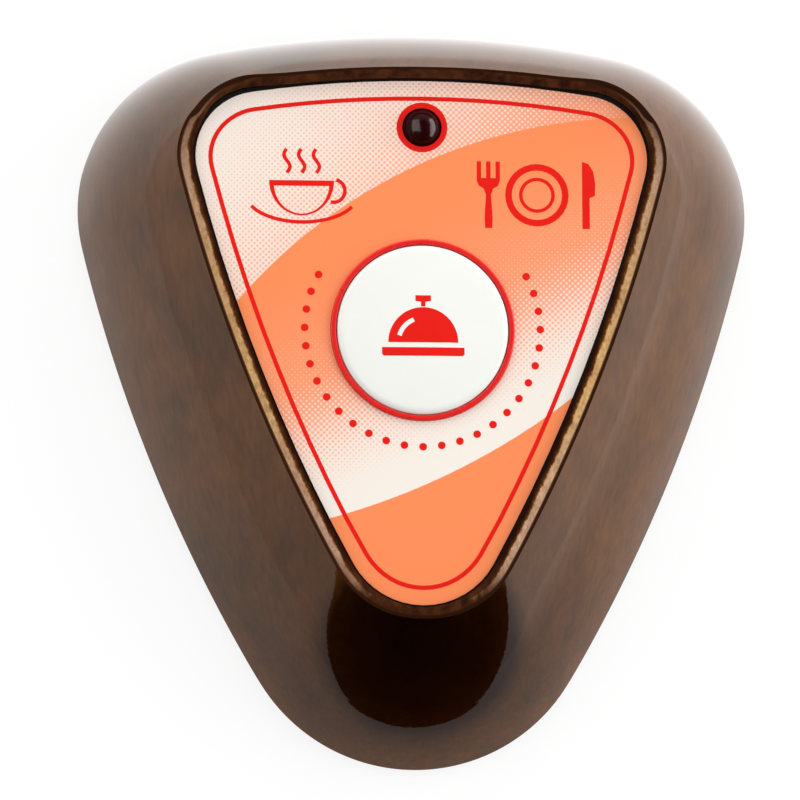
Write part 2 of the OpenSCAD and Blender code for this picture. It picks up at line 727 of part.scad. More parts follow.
// Radio transistor with three flat legs
module rf_transistor() {
    leg = transistor_w / 2;
    color("#2a2a2e") at_face() translate([-transistor_x, transistor_y, board_z]) {
        translate([-transistor_w / 2, -transistor_l / 2, leg_t / 2])
            cube([transistor_w, transistor_l, transistor_h]);
        for (y = [-1, 1] * transistor_l / 3) translate([-leg - transistor_w / 2, y - chip_leg_w / 2, 0])
            cube([leg + eps, chip_leg_w, leg_t]);
        translate([transistor_w / 2 - eps, -chip_leg_w / 2, 0]) cube([leg + eps, chip_leg_w, leg_t]);
    }
}

// Chip parts, each a block that lies along X
module small_parts(places, h) {
    for (p = places) translate([p[0] - small_l / 2, p[1] - small_w / 2, board_z]) cube([small_l, small_w, h]);
}

// Resistors in a column beside the button, and capacitors in a row above it
module chip_resistors() {
    color("#1a1a1a") at_face() small_parts([for (k = [0:4]) [resistor_x, k * resistor_pitch]], resistor_h);
}

module chip_capacitors() {
    color("tan") at_face()
        small_parts([for (k = [0:3]) [(k - 1.5) * capacitor_pitch, capacitor_y]], capacitor_h);
}

// A tube along a path that never runs along Y: one unbroken skin with flat ends
module tube(path, r, sides) {
    n = len(path);
    function along(i) = let (v = path[min(i + 1, n - 1)] - path[max(i - 1, 0)]) v / norm(v);
    function unit(v) = v / norm(v);
    rings = [for (i = [0:n - 1]) let (t = along(i), u = unit(cross(t, [0, 1, 0])), v = cross(t, u))
        for (k = [0:sides - 1]) path[i] + r * (cos(360 * k / sides) * u + sin(360 * k / sides) * v)];
    skin = [for (i = [0:n - 2], k = [0:sides - 1])
        let (a = i * sides + k, b = i * sides + (k + 1) % sides, c = b + sides, d = a + sides)
        each [[a, b, c], [a, c, d]]];
    caps = [[for (k = [sides - 1:-1:0]) k], [for (k = [0:sides - 1]) (n - 1) * sides + k]];
    polyhedron(points = rings, faces = concat(skin, caps), convexity = 12);
}

// Aerial: a wire coil that lies along the board, with both ends turned down to it
module antenna_coil() {
    RINGS = 8;
    last = coil_turns * RINGS;
    axis_z = board_z + coil_lift;
    end_y = coil_low_y + coil_pitch * coil_turns;
    path = concat([for (h = [0, coil_lift / 2]) [-coil_x - coil_r, coil_low_y, board_z + h]],
        [for (i = [0:last]) let (a = 180 - 360 * i / RINGS)
            [-coil_x + coil_r * cos(a), coil_low_y + coil_pitch * i / RINGS, axis_z + coil_r * sin(a)]],
        [for (h = [coil_lift / 2, 0]) [-coil_x + coil_r, end_y, board_z + h]]);
    color("goldenrod") at_face() tube(path, coil_wire_d / 2, 6);
}

// A flat wedge about the button's axis, cut off short of the axis itself
module wedge(near, far, a, z0, z1) {
    low = [cos(-a / 2), sin(-a / 2)];
    high = [cos(a / 2), sin(a / 2)];
    translate([0, 0, z0]) linear_extrude(z1 - z0) polygon([near * low, far * low, far * high, near * high]);
}

// Coin cell: a steel can with a stepped, smaller terminal on its upper side
module coin_cell() {
    color("silver") at_button() {
        post(cell_r, cell_z, cell_top_z - cell_step_h, 96);
        post(cell_r - cell_step_w, cell_top_z - cell_step_h - eps, cell_top_z, 96);
    }
}

// Base cover: plate, lip that clears the pillars, curb, open cell well and entries for the lugs
module base_cover() {
    lip = grown(face_line, pocket_grow - seat_gap);
    shelf_top_z = cell_z + shelf_t;
    color("#2c2c30") difference() {
        union() {
            at_face() slab(grown(face_line, pocket_grow + rebate_w - seat_gap), base_z, base_top_z);
            at_face() difference() {
                slab(lip, base_top_z - eps, base_top_z + lip_h);
                slab(grown(lip, -lip_t), base_top_z - 2 * eps, base_top_z + lip_h + past);
            }
            at_button() rotate_extrude($fn = 96) polygon([
                [curb_r, base_top_z - eps], [curb_r + curb_t, base_top_z - eps],
                [curb_r + curb_t, shelf_top_z], [well_out_r, shelf_top_z],
                [well_out_r, cell_top_z], [well_r, cell_top_z], [well_r, cell_z], [curb_r, cell_z]]);
        }
        at_button() post(door_r + door_gap, base_z - past, base_top_z + past, 96);
        at_button() for (a = LUGS) rotate(a + door_turn) intersection() {
            post(lug_r + door_gap, base_z - past, base_top_z + eps, 96);
            wedge(door_r / 2, 2 * lug_r, lug_angle + entry_play, base_z - 2 * past, base_top_z + past);
        }
        at_face() for (p = PILLARS) translate([p[0], p[1], 0]) {
            post(thread_d / 2 + screw_gap, base_z - past, base_top_z + past, 32);
            post(base_head_d / 2 + screw_gap, base_z - past, base_seat_z, 32);
            post(pillar_d / 2 + seat_gap, base_top_z, base_top_z + lip_h + past, 32);
        }
        at_button() translate([cell_r, -leaf_w / 2 - leaf_gap, shelf_top_z + leaf_gap])
            cube([well_out_r - cell_r + past, leaf_w + 2 * leaf_gap, cell_t]);
    }
}

// Quarter-turn door: disc, pad under the cell, three lugs and a coin slot in the outer face
module battery_door() {
    neck_r = door_r - door_gap;
    root_r = pad_r - pad_in;
    root_z = door_top_z - door_t / 5;
    color("#2c2c30") at_button() difference() {
        union() {
            post(door_r, door_z, door_top_z, 96);
            post(pad_r, root_z, lug_top_z, 96);
            for (a = LUGS) rotate(a) intersection() {
                rotate_extrude($fn = 96) polygon([[root_r, root_z], [neck_r, root_z], [neck_r, lug_z],
                    [lug_r, lug_z], [lug_r, lug_top_z], [root_r, lug_top_z]]);
                wedge(root_r / 2, 2 * lug_r, lug_angle, root_z - past, lug_top_z + past);
            }
        }
        translate([-slot_l / 2, -slot_w / 2, door_z - past]) cube([slot_l, slot_w, slot_depth + past]);
    }
}

// Sprung strip from the board down beside the well to the cell's side
module cell_contact_positive() {
    out_x = well_out_r + leaf_gap;
    pad_z = cell_z + cell_t / 2;
    color("gold") at_button() rotate([90, 0, 0]) translate([0, 0, -leaf_w / 2]) linear_extrude(leaf_w)
        polygon([[cell_r, pad_z], [cell_r + leaf_t, pad_z], [out_x + leaf_t, cell_top_z],
            [out_x + leaf_t, board_under_z - leaf_t], [out_x + leaf_foot, board_under_z - leaf_t],
            [out_x + leaf_foot, board_under_z], [out_x, board_under_z], [out_x, cell_top_z],
            [cell_r, pad_z + leaf_pad_h]]);
}

// Sprung strip that slopes from the board down to the cell's top, with a lifted free end
module cell_contact_negative() {
    line = [[leaf_slope + leaf_foot, board_under_z - leaf_t], [leaf_slope, board_under_z - leaf_t],
        [leaf_flat, cell_top_z], [-leaf_flat, cell_top_z],
        [-leaf_flat - leaf_tip, cell_top_z + leaf_tip_rise]];
    color("gold") at_button() rotate([90, 0, 90]) translate([0, 0, -leaf_w / 2]) linear_extrude(leaf_w)
        polygon(concat(line, [for (i = [len(line) - 1:-1:0]) line[i] + [0, leaf_t]]));
}

// Pan-head screw, head down, its head's upper face at z = 0
module screw(l, head_d, head_h) {
    difference() {
        union() {
            translate([0, 0, -head_h]) cylinder(d1 = head_d * 0.85, d2 = head_d, h = head_h, $fn = 32);
            post(thread_d / 2, -eps, l - screw_point + eps, 24);
            translate([0, 0, l - screw_point])
                cylinder(d1 = thread_d, d2 = thread_d / 3, h = screw_point, $fn = 24);
        }
        for (a = [0, 90]) rotate(a) translate([-head_d / 4, -cross_w / 2, -head_h - past])
            cube([head_d / 2, cross_w, past + head_h / 2]);
    }
}

// Three screws that pull the base cover up to the carrier's pillars
module base_screws() {
    color("silver") at_face() for (p = PILLARS) translate([p[0], p[1], base_seat_z])
        screw(base_screw_l, base_head_d, base_head_h);
}

// Four screws that hold the board to the carrier's bosses
module board_screws() {
    color("silver") at_face() for (p = BOSSES) translate([p[0], p[1], board_under_z])
        screw(board_screw_l, board_head_d, board_head_h);
}

// Rubber feet in the middle of the wooden ring's underside, at the shoulders and the tail
module rubber_feet() {
    inner = moved(grown(face_line, pocket_grow + rebate_w), face_shift);
    outer = grown(body_line, -edge_r);
    side_x = (inner[0] + outer[0]) / 4;
    side_y = shoulder_centre(body_line)[1];
    tail_y = (inner[1] + outer[1]) / 2;
    places = [[side_x, side_y], [-side_x, side_y], [0, tail_y]];
    color("#3a3a3a") for (p = places) translate([p[0], p[1], 0]) {
        cylinder(d1 = foot_d - 2 * foot_taper, d2 = foot_d, h = foot_h / 2, $fn = 48);
        post(foot_d / 2, foot_h / 2 - eps, foot_h, 48);
    }
}

wood_housing();
face_plate();
printed_overlay();
button_ring();
button_cap();
switch_body();
switch_cover();
switch_plunger();
switch_legs();
led_lens();
led_leads();
circuit_board();
encoder_chip();
encoder_legs();
saw_resonator();
rf_transistor();
chip_resistors();
chip_capacitors();
antenna_coil();
coin_cell();
cell_contact_positive();
cell_contact_negative();
base_cover();
battery_door();
base_screws();
board_screws();
rubber_feet();
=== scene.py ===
import math

import bpy
from mathutils import Matrix, Vector


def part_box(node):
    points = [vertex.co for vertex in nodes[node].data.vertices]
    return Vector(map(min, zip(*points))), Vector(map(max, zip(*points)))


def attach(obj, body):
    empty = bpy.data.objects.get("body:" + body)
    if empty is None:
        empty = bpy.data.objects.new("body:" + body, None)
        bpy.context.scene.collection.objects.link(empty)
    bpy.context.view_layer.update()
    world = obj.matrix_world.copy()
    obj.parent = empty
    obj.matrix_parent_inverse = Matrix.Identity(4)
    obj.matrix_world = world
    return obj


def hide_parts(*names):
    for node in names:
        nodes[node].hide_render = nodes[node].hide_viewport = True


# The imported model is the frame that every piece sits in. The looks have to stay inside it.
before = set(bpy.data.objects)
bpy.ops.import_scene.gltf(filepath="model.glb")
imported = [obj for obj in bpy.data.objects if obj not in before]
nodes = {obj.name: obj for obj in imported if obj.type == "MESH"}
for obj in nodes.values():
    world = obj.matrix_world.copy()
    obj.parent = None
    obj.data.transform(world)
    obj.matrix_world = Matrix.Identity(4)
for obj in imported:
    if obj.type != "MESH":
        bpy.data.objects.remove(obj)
bpy.ops.object.select_all(action="DESELECT")
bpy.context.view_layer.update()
scene = bpy.context.scene
scene.view_settings.view_transform = "Standard"

# Camera: a long lens almost straight above the button, a little towards the tail and the left,
# so that the tail's flank shows more than the head's.
camera_place = Vector((-0.04316, -0.10252, 0.60202))
camera_aim = Vector((0, -0.002435, 0.012))
camera_roll = math.radians(-0.206)
looking = (camera_aim - camera_place).normalized()
level_right = looking.cross(Vector((0, 1, 0))).normalized()
level_up = level_right.cross(looking)
camera_right = math.cos(camera_roll) * level_right + math.sin(camera_roll) * level_up
camera_up = math.cos(camera_roll) * level_up - math.sin(camera_roll) * level_right
lens = bpy.data.cameras.new("camera")
lens.sensor_width = 36
lens.lens = 207.9
lens.shift_x = -0.0236
lens.shift_y = 0.005
lens.clip_end = 20
camera = bpy.data.objects.new("camera", lens)
turn = Matrix((camera_right, camera_up, -looking)).transposed()
camera.matrix_world = Matrix.Translation(camera_place) @ turn.to_4x4()
scene.collection.objects.link(camera)
scene.camera = camera

# Room: white to the camera. In mirror-like lacquer it shows as a bright back wall, lighter to the
# right, a dim front and a dark ceiling. It lights the object at a plain, even level.
def add(tree, kind, **values):
    node = tree.nodes.new("ShaderNode" + kind)
    for key, value in values.items():
        setattr(node, key, value)
    return node


def feed(tree, socket, value):
    if isinstance(value, bpy.types.NodeSocket):
        tree.links.new(value, socket)
    elif isinstance(value, tuple):
        socket.default_value = (*value, 1)
    else:
        socket.default_value = value


def reckon(tree, kind, *values):
    node = add(tree, "Math", operation=kind)
    for socket, value in zip(node.inputs, values):
        feed(tree, socket, value)
    return node.outputs[0]


def ramp(tree, value, *stops):
    bar = add(tree, "ValToRGB")
    tree.links.new(value, bar.inputs["Fac"])
    while len(bar.color_ramp.elements) < len(stops):
        bar.color_ramp.elements.new(0.5)
    for element, (place, colour) in zip(bar.color_ramp.elements, stops):
        element.position = place
        element.color = (*colour, 1) if isinstance(colour, tuple) else (colour, colour, colour, 1)
    return bar.outputs["Color"]


def between(tree, value, low, high):
    scaled = add(tree, "MapRange")
    scaled.inputs["From Min"].default_value = low
    scaled.inputs["From Max"].default_value = high
    tree.links.new(value, scaled.inputs["Value"])
    return scaled.outputs[0]


def mix(tree, share, first, second, kind="MIX"):
    blend = add(tree, "Mix", data_type="RGBA", blend_type=kind)
    for name, value in (("Factor_Float", share), ("A_Color", first), ("B_Color", second)):
        feed(tree, next(s for s in blend.inputs if s.identifier == name), value)
    return next(s for s in blend.outputs if s.identifier == "Result_Color")


def mirrored(tree):
    rays = add(tree, "LightPath").outputs
    bent = reckon(tree, "MAXIMUM", rays["Is Glossy Ray"], rays["Is Transmission Ray"])
    return rays["Is Camera Ray"], bent


def emitter(tree, kind, strength):
    source = add(tree, kind)
    feed(tree, source.inputs["Strength"], strength)
    return source.outputs[0]


def blend_light(tree, share, first, second):
    blend = add(tree, "MixShader")
    feed(tree, blend.inputs["Fac"], share)
    tree.links.new(first, blend.inputs[1])
    tree.links.new(second, blend.inputs[2])
    return blend.outputs[0]


world = bpy.data.worlds.new("room")
scene.world = world
world.use_nodes = True
room = world.node_tree
room.nodes.clear()
# Brightness of the walls from the front (0) to the back (1), on the left and on the right.
left_wall = [
    (0, 0.17), (0.18, 0.21), (0.33, 0.27), (0.5, 0.40), (0.67, 0.52), (0.82, 0.63), (0.93, 0.75),
    (1, 0.94)]
right_wall = [
    (0, 0.17), (0.18, 0.27), (0.33, 0.5), (0.5, 0.74), (0.67, 0.86), (0.82, 0.87), (0.93, 0.85),
    (1, 0.94)]


def wall_tone(tree, way):
    axes = add(tree, "SeparateXYZ")
    tree.links.new(way, axes.inputs[0])
    to_back = between(tree, axes.outputs["Y"], -1, 1)
    to_right = between(tree, axes.outputs["X"], -0.5, 0.5)
    left, right = ramp(tree, to_back, *left_wall), ramp(tree, to_back, *right_wall)
    return mix(tree, to_right, left, right), axes


room_place = add(room, "TexCoord").outputs["Generated"]
walls, room_axes = wall_tone(room, room_place)
height = ramp(
    room, room_axes.outputs["Z"],
    (0, 0.9), (0.12, 1), (0.5, 0.91), (0.56, 0.86), (0.7, 0.3), (0.85, 0.03))
mirror_strength = 3
mirror_light = reckon(room, "MULTIPLY", reckon(room, "MULTIPLY", walls, height), mirror_strength)
even_light = 0.74
camera_ray, mirror_ray = mirrored(room)
lit = emitter(room, "Background", even_light)
room_light = blend_light(room, mirror_ray, lit, emitter(room, "Background", mirror_light))
room_light = blend_light(room, camera_ray, room_light, emitter(room, "Background", 1))
room.links.new(room_light, add(room, "OutputWorld").inputs["Surface"])


# Softboxes stand low at the left, at the right and behind, for shape in the matt surfaces.
def softbox(name, place, width, height, radiance):
    lamp = bpy.data.lights.new(name, "AREA")
    lamp.shape = "RECTANGLE"
    lamp.size = width
    lamp.size_y = height
    lamp.energy = radiance * math.pi * width * height
    box = bpy.data.objects.new(name, lamp)
    facing = (Vector((0, 0, 0.02)) - Vector(place)).to_track_quat("-Z", "Y")
    box.matrix_world = Matrix.Translation(place) @ facing.to_matrix().to_4x4()
    box.visible_camera = False
    box.visible_glossy = False
    scene.collection.objects.link(box)
    return box


softbox("softbox_left", (-0.70, 0.05, 0.30), 0.90, 0.50, 1.6)
softbox("softbox_right", (0.70, 0.05, 0.30), 0.90, 0.50, 3.3)
softbox("softbox_back", (0, 0.75, 0.30), 0.80, 0.50, 2.6)

# Black card: a round piece of felt that leans over the table before the tail, and its foot on
# the table. Only reflections see them, as the dark patch in the lacquer there.
card_place = Vector((0.001, -0.103, 0.064))
card_half = (0.141, 0.103)
tail_middle = Vector((0, -0.040, 0.016))
foot_place = (0.001, -0.152, 0.0003)
foot_half = (0.064, 0.049)
bpy.ops.mesh.primitive_circle_add(vertices=64, radius=1, fill_type="NGON")
card = bpy.context.object
card.name = "black_card"
card_facing = (tail_middle - card_place).to_track_quat("Z", "Y").to_matrix().to_4x4()
for vertex in card.data.vertices:
    x, y, z = vertex.co
    square = 0.5 if y > 0 else 1.2
    wider = 1 + 0.6 * max(y, 0)
    vertex.co = (math.copysign(abs(x) ** square, x) * wider, math.copysign(abs(y) ** square, y), 0)
card_size = Matrix.Diagonal((*card_half, 1, 1))
card.data.transform(Matrix.Translation(card_place) @ card_facing @ card_size)
bpy.ops.mesh.primitive_circle_add(vertices=64, radius=1, fill_type="NGON")
card_foot = bpy.context.object
card_foot.name = "black_card_foot"
card_foot.data.transform(Matrix.Translation(foot_place) @ Matrix.Diagonal((*foot_half, 1, 1)))
felt = bpy.data.materials.new("black_felt")
felt.use_nodes = True
felt_skin = felt.node_tree.nodes["Principled BSDF"]
felt_skin.inputs["Base Color"].default_value = (0.002, 0.002, 0.002, 1)
felt_skin.inputs["Specular IOR Level"].default_value = 0
for cloth in (card, card_foot):
    cloth.data.materials.append(felt)
    cloth.visible_camera = False
    cloth.visible_diffuse = False
    cloth.visible_shadow = False

# Table: a large pale sheet, just under the feet, that is white to the camera where no shadow
# falls. In reflections it is dim near the object and takes on the walls' tone further out.
table_drop = 0.00003
bpy.ops.mesh.primitive_plane_add(size=6, location=(0, 0, -table_drop))
table = bpy.context.object
table.name = "table"
paper = bpy.data.materials.new("table_paper")
paper.use_nodes = True
sheet = paper.node_tree
sheet_skin = sheet.nodes["Principled BSDF"]
sheet_skin.inputs["Base Color"].default_value = (0.85, 0.85, 0.85, 1)
sheet_skin.inputs["Roughness"].default_value = 0.9
sheet_skin.inputs["Specular IOR Level"].default_value = 0
sheet_place = add(sheet, "TexCoord").outputs["Object"]
sheet_way = add(sheet, "VectorMath", operation="NORMALIZE")
sheet.links.new(sheet_place, sheet_way.inputs[0])
sheet_far = add(sheet, "VectorMath", operation="LENGTH")
sheet.links.new(sheet_place, sheet_far.inputs[0])
far = ramp(
    sheet, between(sheet, sheet_far.outputs["Value"], 0.05, 0.65),
    (0, 0.0), (0.15, 0.50), (0.5, 0.91), (1, 1.0))
far_walls, sheet_axes = wall_tone(sheet, sheet_way.outputs[0])
sheet_back = between(sheet, sheet_axes.outputs["Y"], -1, 1)
near_glow = ramp(
    sheet, sheet_back,
    (0, 0.12), (0.18, 0.2), (0.33, 0.3), (0.5, 0.36), (0.67, 0.46), (0.82, 0.62), (1, 0.84))
near_glow = mix(sheet, 1.0, near_glow, (0.89, 0.89, 0.89), "MULTIPLY")
glow_strength = 2.7
sheet_glow = reckon(sheet, "MULTIPLY", mix(sheet, far, near_glow, far_walls), glow_strength)
camera_ray, mirror_ray = mirrored(sheet)
sheet_share = reckon(sheet, "MULTIPLY", mirror_ray, reckon(sheet, "MULTIPLY_ADD", far, 0.4, 0.6))
glow = emitter(sheet, "Emission", sheet_glow)
sheet_light = blend_light(sheet, sheet_share, sheet_skin.outputs[0], glow)
white_share, white_strength = 0.75, 1.08
white = emitter(sheet, "Emission", white_strength)
to_camera = reckon(sheet, "MULTIPLY", camera_ray, white_share)
sheet_light = blend_light(sheet, to_camera, sheet_light, white)
sheet.links.new(sheet_light, sheet.nodes["Material Output"].inputs["Surface"])
table.data.materials.append(paper)


# Wooden body: a burl block milled to a rounded triangle, hollowed from below, stained and dipped
# in clear lacquer. The bevel round the window is left pale where the cutter ran through.
def merged_copy(node, name):
    mesh = nodes[node].data.copy()
    mesh.materials.clear()
    piece = bpy.data.objects.new(name, mesh)
    scene.collection.objects.link(piece)
    bpy.ops.object.select_all(action="DESELECT")
    bpy.context.view_layer.objects.active = piece
    piece.select_set(True)
    bpy.ops.mesh.customdata_custom_splitnormals_clear()
    bpy.ops.object.mode_set(mode="EDIT")
    bpy.ops.mesh.select_all(action="SELECT")
    bpy.ops.mesh.remove_doubles(threshold=1e-6)
    bpy.ops.mesh.tris_convert_to_quads()
    bpy.ops.mesh.select_all(action="DESELECT")
    bpy.ops.object.mode_set(mode="OBJECT")
    return piece


def smooth_over(piece, sharp, levels):
    bpy.ops.object.mode_set(mode="EDIT")
    bpy.ops.mesh.select_all(action="DESELECT")
    bpy.ops.mesh.select_mode(type="EDGE")
    bpy.ops.mesh.edges_select_sharp(sharpness=math.radians(sharp))
    bpy.ops.transform.edge_crease(value=1)
    bpy.ops.mesh.select_all(action="DESELECT")
    bpy.ops.object.mode_set(mode="OBJECT")
    rounded = piece.modifiers.new("rounded", "SUBSURF")
    rounded.levels = levels
    rounded.render_levels = levels
    bpy.ops.object.modifier_apply(modifier=rounded.name)
    bpy.ops.object.shade_smooth_by_angle(angle=math.radians(sharp))


def new_finish(name, roughness, coat=0.0, metallic=0.0):
    finish = bpy.data.materials.new(name)
    finish.use_nodes = True
    skin = finish.node_tree.nodes["Principled BSDF"]
    skin.inputs["Roughness"].default_value = roughness
    skin.inputs["Metallic"].default_value = metallic
    skin.inputs["Coat Weight"].default_value = coat
    skin.inputs["Coat Roughness"].default_value = 0.03
    return finish, finish.node_tree, skin


def noise(tree, scale, detail=3.0, stretch=(1, 1, 1), roughness=0.5):
    place = add(tree, "TexCoord")
    mapping = add(tree, "Mapping")
    mapping.inputs["Scale"].default_value = stretch
    texture = add(tree, "TexNoise")
    texture.inputs["Scale"].default_value = scale
    texture.inputs["Detail"].default_value = detail
    texture.inputs["Roughness"].default_value = roughness
    tree.links.new(place.outputs["Object"], mapping.inputs["Vector"])
    tree.links.new(mapping.outputs[0], texture.inputs["Vector"])
    return texture.outputs["Fac"]


def bump(tree, skin, height, distance, socket="Normal"):
    relief = add(tree, "Bump")
    relief.inputs["Strength"].default_value = 1.0
    relief.inputs["Distance"].default_value = distance
    tree.links.new(height, relief.inputs["Height"])
    tree.links.new(relief.outputs[0], skin.inputs[socket])


wood, wood_tree, wood_skin = new_finish("lacquered_burl", 0.5, coat=1.0)
wood_skin.inputs["Coat IOR"].default_value = 1.5
wood_skin.inputs["Specular IOR Level"].default_value = 0.0
clouds = noise(wood_tree, 95, 3, (1.1, 0.8, 1), 0.55)
figure = noise(wood_tree, 260, 4, (1.2, 0.6, 1), 0.6)
grain = noise(wood_tree, 1500, 4, (1, 0.12, 1), 0.65)
brown = ramp(
    wood_tree, clouds,
    (0.30, (0.080, 0.034, 0.010)), (0.47, (0.108, 0.040, 0.010)),
    (0.58, (0.124, 0.045, 0.010)), (0.72, (0.096, 0.038, 0.010)))
brown = mix(wood_tree, 0.5, brown, ramp(wood_tree, figure, (0.35, 0.7), (0.65, 1.0)), "MULTIPLY")
brown = mix(wood_tree, 0.5, brown, ramp(wood_tree, grain, (0.35, 0.5), (0.65, 1.0)), "MULTIPLY")
wood_at = add(wood_tree, "TexCoord").outputs["Object"]
wood_axes = add(wood_tree, "SeparateXYZ")
wood_tree.links.new(wood_at, wood_axes.inputs[0])
# Painted light: the wood's colour is made lighter towards the right, where more light falls.
to_right = between(wood_tree, wood_axes.outputs["X"], -0.02, 0.03)
painted_light_right = ramp(wood_tree, to_right, (0, 0.78), (1, 1.0))
brown = mix(wood_tree, 1.0, brown, (1.3, 1.3, 1.3), "MULTIPLY")
brown = mix(wood_tree, 1.0, brown, painted_light_right, "MULTIPLY")
# Painted reflection: the wood is painted dark in an ellipse at the tail, on the upper side only,
# to deepen the dark patch that the black card casts in the lacquer there.
dark_y, dark_half_x, dark_half_y = -0.0338, 0.0149, 0.0137
dark_place = add(wood_tree, "Mapping")
dark_place.inputs["Location"].default_value = (0, -dark_y / dark_half_y, 0)
dark_place.inputs["Scale"].default_value = (1 / dark_half_x, 1 / dark_half_y, 0)
wood_tree.links.new(wood_at, dark_place.inputs["Vector"])
dark_way = add(wood_tree, "VectorMath", operation="LENGTH")
wood_tree.links.new(dark_place.outputs[0], dark_way.inputs[0])
tail_painted_reflection = ramp(
    wood_tree, between(wood_tree, dark_way.outputs["Value"], 0.0, 2.0),
    (0.10, (0.05, 0.03, 0.03)), (0.30, (0.09, 0.05, 0.05)), (0.40, (0.16, 0.11, 0.11)),
    (0.44, (0.44, 0.40, 0.42)), (0.48, (0.68, 0.67, 0.70)), (0.70, (0.74, 0.75, 0.80)),
    (1.0, (1.0, 1.0, 1.0)))
upper = between(wood_tree, wood_axes.outputs["Z"], 0.002, 0.006)
brown = mix(wood_tree, upper, brown, tail_painted_reflection, "MULTIPLY")
wood_tree.links.new(brown, wood_skin.inputs["Base Color"])
bump(wood_tree, wood_skin, noise(wood_tree, 1700, 2), 0.0000035, socket="Coat Normal")

bevel, bevel_tree, bevel_skin = new_finish("cut_bevel_wood", 0.5)
bevel_skin.inputs["Specular IOR Level"].default_value = 0.0
bevel_axes = add(bevel_tree, "SeparateXYZ")
bevel_tree.links.new(add(bevel_tree, "TexCoord").outputs["Object"], bevel_axes.inputs[0])
bevel_x, bevel_y = bevel_axes.outputs["X"], bevel_axes.outputs["Y"]
bevel_run = add(bevel_tree, "Attribute", attribute_name="bevel_run").outputs["Fac"]
speckle = noise(bevel_tree, 2400, 3, (1, 0.6, 1), 0.7)
bevel_grain = noise(bevel_tree, 700, 4, (1, 0.35, 1), 0.6)
# The bare strip: speckled, more golden in the middle of the flanks, and lighter on the right by
# painted light.
pale = ramp(
    bevel_tree, speckle,
    (0.30, (0.40, 0.265, 0.15)), (0.5, (0.55, 0.385, 0.235)), (0.70, (0.68, 0.495, 0.325)))
pale_grain = ramp(bevel_tree, bevel_grain, (0.3, (0.62, 0.52, 0.50)), (0.62, 1.0))
pale = mix(bevel_tree, 0.6, pale, pale_grain, "MULTIPLY")
# Painted light: the strip is tinted lighter on the right and darker on the left, as if lit more
# from one side.
right_side = between(bevel_tree, bevel_x, -0.01, 0.01)
side_painted_light = ramp(bevel_tree, right_side, (0, (0.80, 0.74, 0.72)), (1, (1.05, 0.98, 0.92)))
pale = mix(bevel_tree, 1.0, pale, side_painted_light, "MULTIPLY")
golden_run = reckon(bevel_tree, "MULTIPLY_ADD", bevel_grain, 0.012, bevel_y)
golden_tint = ramp(
    bevel_tree, between(bevel_tree, golden_run, -0.019, 0.041),
    (0.1, (0.90, 0.84, 0.96)), (0.4, (1.12, 1.02, 0.72)), (0.65, (1.05, 0.98, 0.80)),
    (0.9, (0.86, 0.83, 0.95)))
pale = mix(bevel_tree, 1.0, pale, golden_tint, "MULTIPLY")
# Where it is bare: outside a ragged inner edge, inside the outer line, and along the flanks.
ragged = reckon(bevel_tree, "MULTIPLY_ADD", speckle, 0.25, bevel_run)
ragged = reckon(bevel_tree, "MULTIPLY_ADD", bevel_grain, 0.40, ragged)
band = ramp(bevel_tree, between(bevel_tree, ragged, 0.0, 1.4), (0.47, 0.0), (0.53, 1.0))
line_run = reckon(bevel_tree, "MULTIPLY_ADD", speckle, 0.04, bevel_run)
line = ramp(bevel_tree, line_run, (0.84, 1.0), (0.92, 0.0))
flank_run = reckon(bevel_tree, "MULTIPLY_ADD", bevel_grain, 0.004, bevel_y)
flank_run = between(bevel_tree, flank_run, -0.032, 0.042)
flanks = ramp(bevel_tree, flank_run, (0.07, 0.0), (0.16, 1.0), (0.80, 0.9), (0.97, 0.0))
bare = reckon(bevel_tree, "MULTIPLY", reckon(bevel_tree, "MULTIPLY", band, line), flanks)
# Elsewhere it is stained: scorched orange-brown inside the strip, and made darker towards the
# tail.
scorched = ramp(
    bevel_tree, ragged,
    (0.42, (0.018, 0.005, 0.003)), (0.58, (0.060, 0.018, 0.005)), (0.72, (0.24, 0.10, 0.022)))
stained = ramp(
    bevel_tree, bevel_grain,
    (0.35, (0.028, 0.009, 0.005)), (0.65, (0.085, 0.027, 0.009)))
outer_line = ramp(bevel_tree, bevel_run, (0.78, 0.0), (0.88, 1.0))
stained = mix(bevel_tree, outer_line, stained, (0.030, 0.010, 0.004))
tail_run = between(bevel_tree, bevel_y, -0.036, -0.026)
tail_darkening = ramp(bevel_tree, tail_run, (0, (0.30, 0.26, 0.24)), (1, 1.0))
stained = mix(bevel_tree, 1.0, stained, tail_darkening, "MULTIPLY")
inner_strip = ramp(bevel_tree, bevel_run, (0.60, 1.0), (0.78, 0.0))
stained = mix(bevel_tree, reckon(bevel_tree, "MULTIPLY", flanks, inner_strip), stained, scorched)
bevel_tree.links.new(mix(bevel_tree, bare, stained, pale), bevel_skin.inputs["Base Color"])
bump(bevel_tree, bevel_skin, speckle, 0.00004)

wood_body = merged_copy("wood_housing", "wood_body")
wood_body.data.materials.append(wood)
wood_body.data.materials.append(bevel)
# Levels of the four loops of the bevel, from its rim down to the window's wall, and the wall's
# foot. The lip is the wood that is brought in over the carrier's edge.
rim_z, round_z, cove_z, wall_z, ledge_z = 0.021, 0.020908, 0.020175, 0.0199, 0.0174
lip_z, lip_step = 0.01897, 0.00005
window_y = 0.006
level_play = 4e-6
out_side, back_head, out_drop = 0.00050, 0.00045, 0.85
in_all, in_drop = 0.00045, 0.0002
beside_bevel = 1.6


def faces_window(face):
    to_middle = Vector((-face.center.x, window_y - face.center.y, 0)).normalized()
    return to_middle.dot(face.normal) > 0.2


def on_wall(face, low_z):
    level = low_z < face.center.z < wall_z
    return level and abs(face.normal.z) < 0.1 and faces_window(face)


for face in wood_body.data.polygons:
    on_bevel = face.center.z > wall_z and face.normal.z > 0.2 and faces_window(face)
    face.material_index = 1 if on_bevel else 0
    face.select = on_wall(face, ledge_z)
